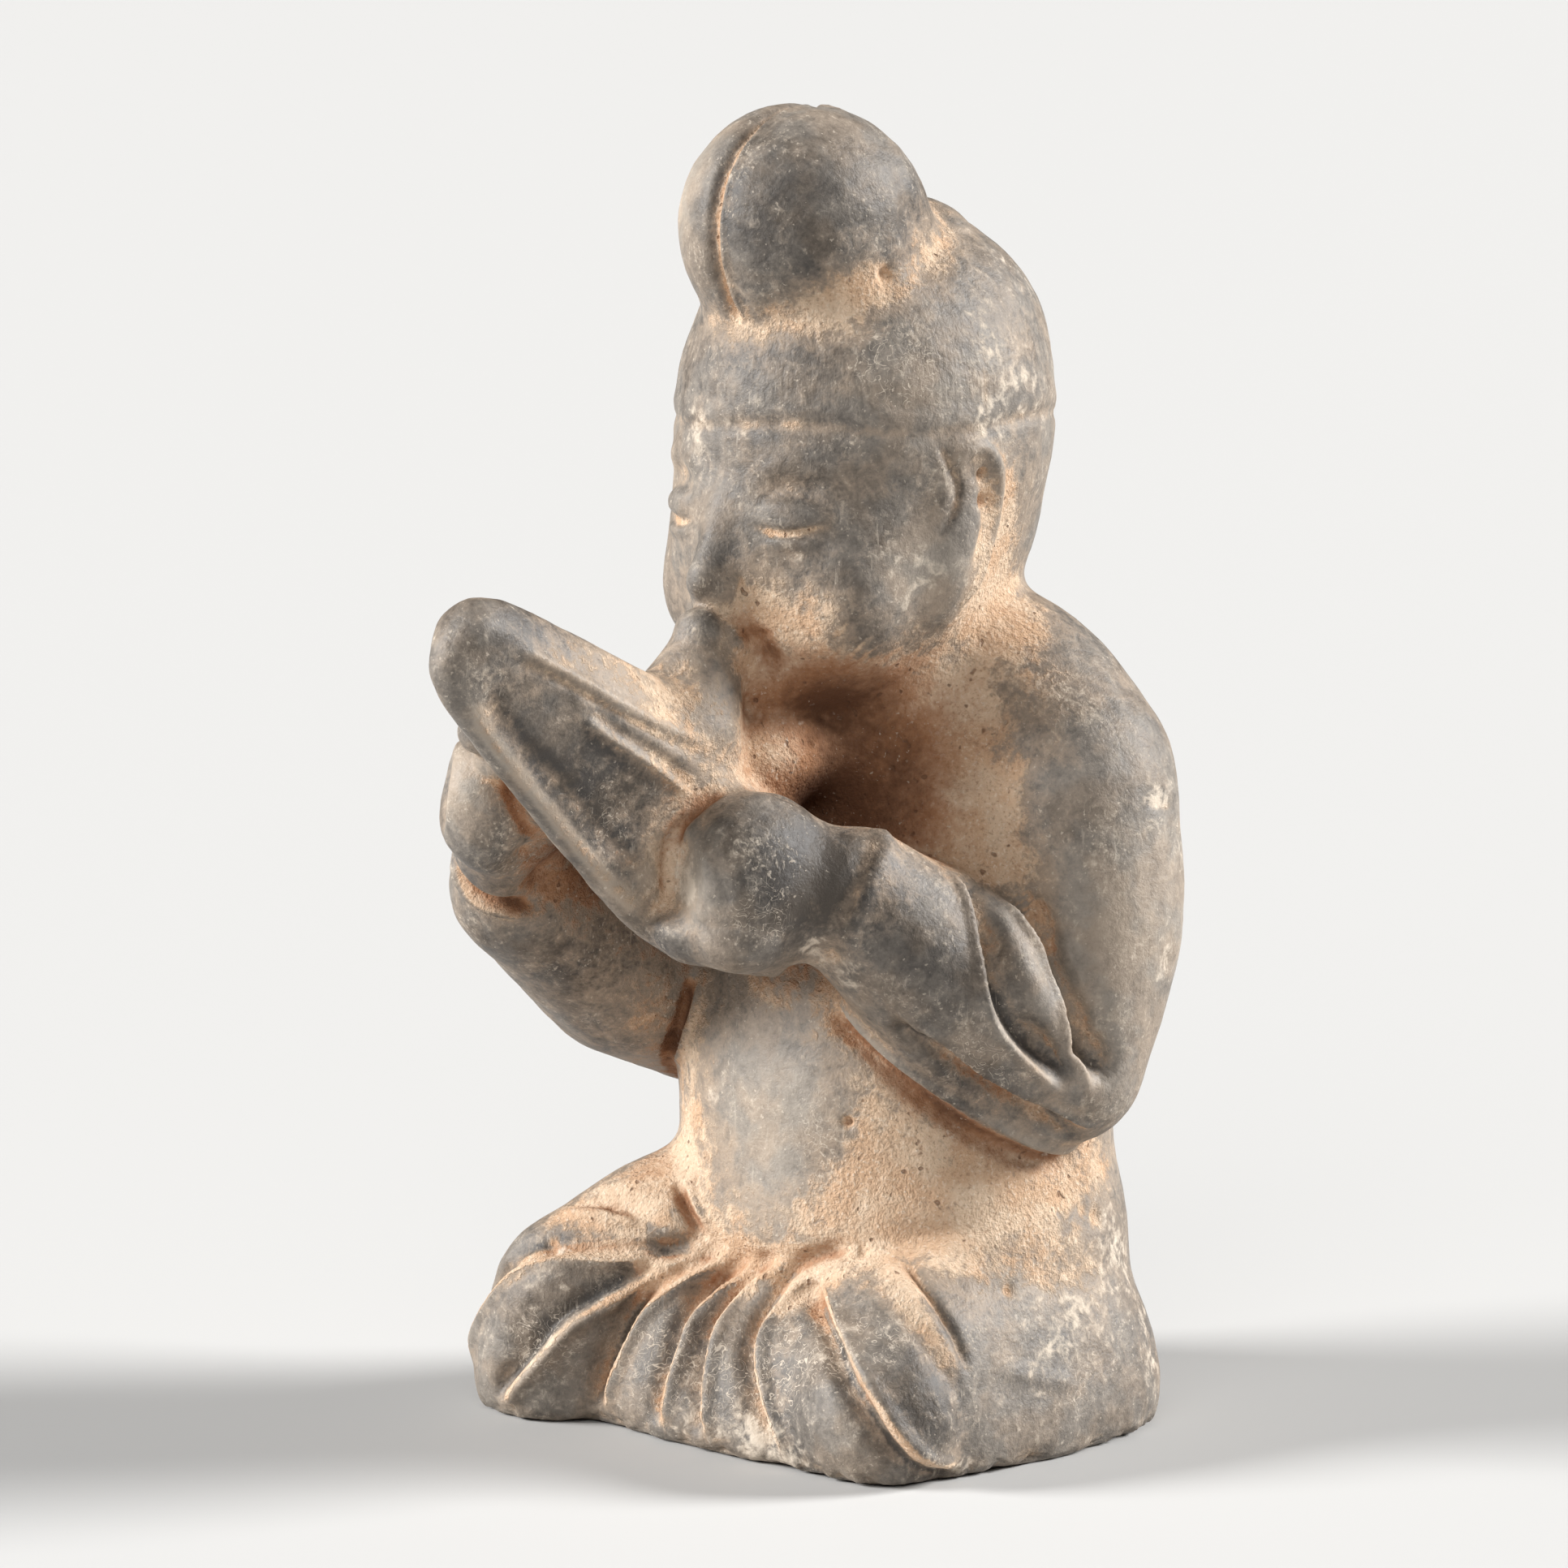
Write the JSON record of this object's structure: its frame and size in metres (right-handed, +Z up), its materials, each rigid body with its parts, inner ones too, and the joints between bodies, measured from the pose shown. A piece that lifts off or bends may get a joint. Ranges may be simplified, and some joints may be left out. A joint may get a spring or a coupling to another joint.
{
  "type": "figurine",
  "caption": "Kneeling robed musician with a round topknot, modelled in clay, holding a leaf-shaped mouth organ to the lips in both hands.",
  "frame": {"origin": "centre of the base, on the plane of the flat underside", "axes": "+Z up; the figure faces -Y and its left hand is on the +X side"},
  "size_m": [0.0961, 0.1257, 0.1979],
  "materials": {
    "pottery": "unglazed, matt, worn grey clay with buff earth in its hollows"
  },
  "bodies": {
    "root": {"kneeling_musician": "pottery"}
  },
  "joints": []
}
